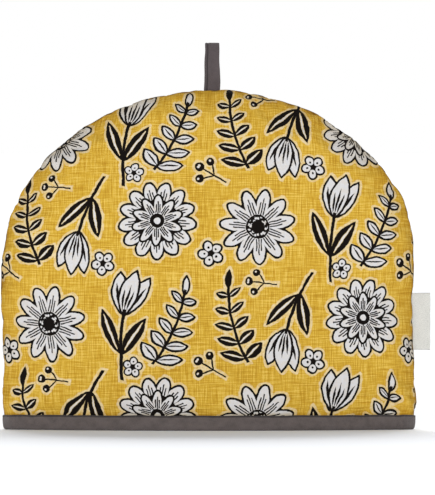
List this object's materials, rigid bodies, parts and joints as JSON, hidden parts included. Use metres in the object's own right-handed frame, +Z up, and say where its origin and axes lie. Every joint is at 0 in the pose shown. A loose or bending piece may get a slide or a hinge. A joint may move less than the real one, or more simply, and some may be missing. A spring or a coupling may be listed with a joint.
{
  "type": "padded tea cosy",
  "caption": "Padded cloth tea cosy with an arched front and back, a bound hem, a short hanging loop and a bare side label. It stands open on its hem to cover a teapot.",
  "frame": {"origin": "on the surface that the hem rests on, under the middle of the part's bounding box", "axes": "+X towards the side with the label, +Y from the front to the back, +Z up towards the hanging loop"},
  "size_m": [0.3547, 0.103, 0.319],
  "materials": {
    "printed_cloth": "matt slubby cotton, mustard ground with a dark and pale floral print",
    "printed_cloth_back": "matt slubby cotton, mustard ground with a dark and pale floral print",
    "binding_tape": "matt plain woven cotton tape, warm dark grey",
    "loop_tape": "matt plain woven cotton tape, warm dark grey",
    "label_tape": "smooth woven tape, pale cream, bare"
  },
  "bodies": {
    "root": {"front_panel": "printed_cloth", "back_panel": "printed_cloth_back", "hem_binding": "binding_tape", "hanging_loop": "loop_tape", "side_label": "label_tape"}
  },
  "joints": []
}
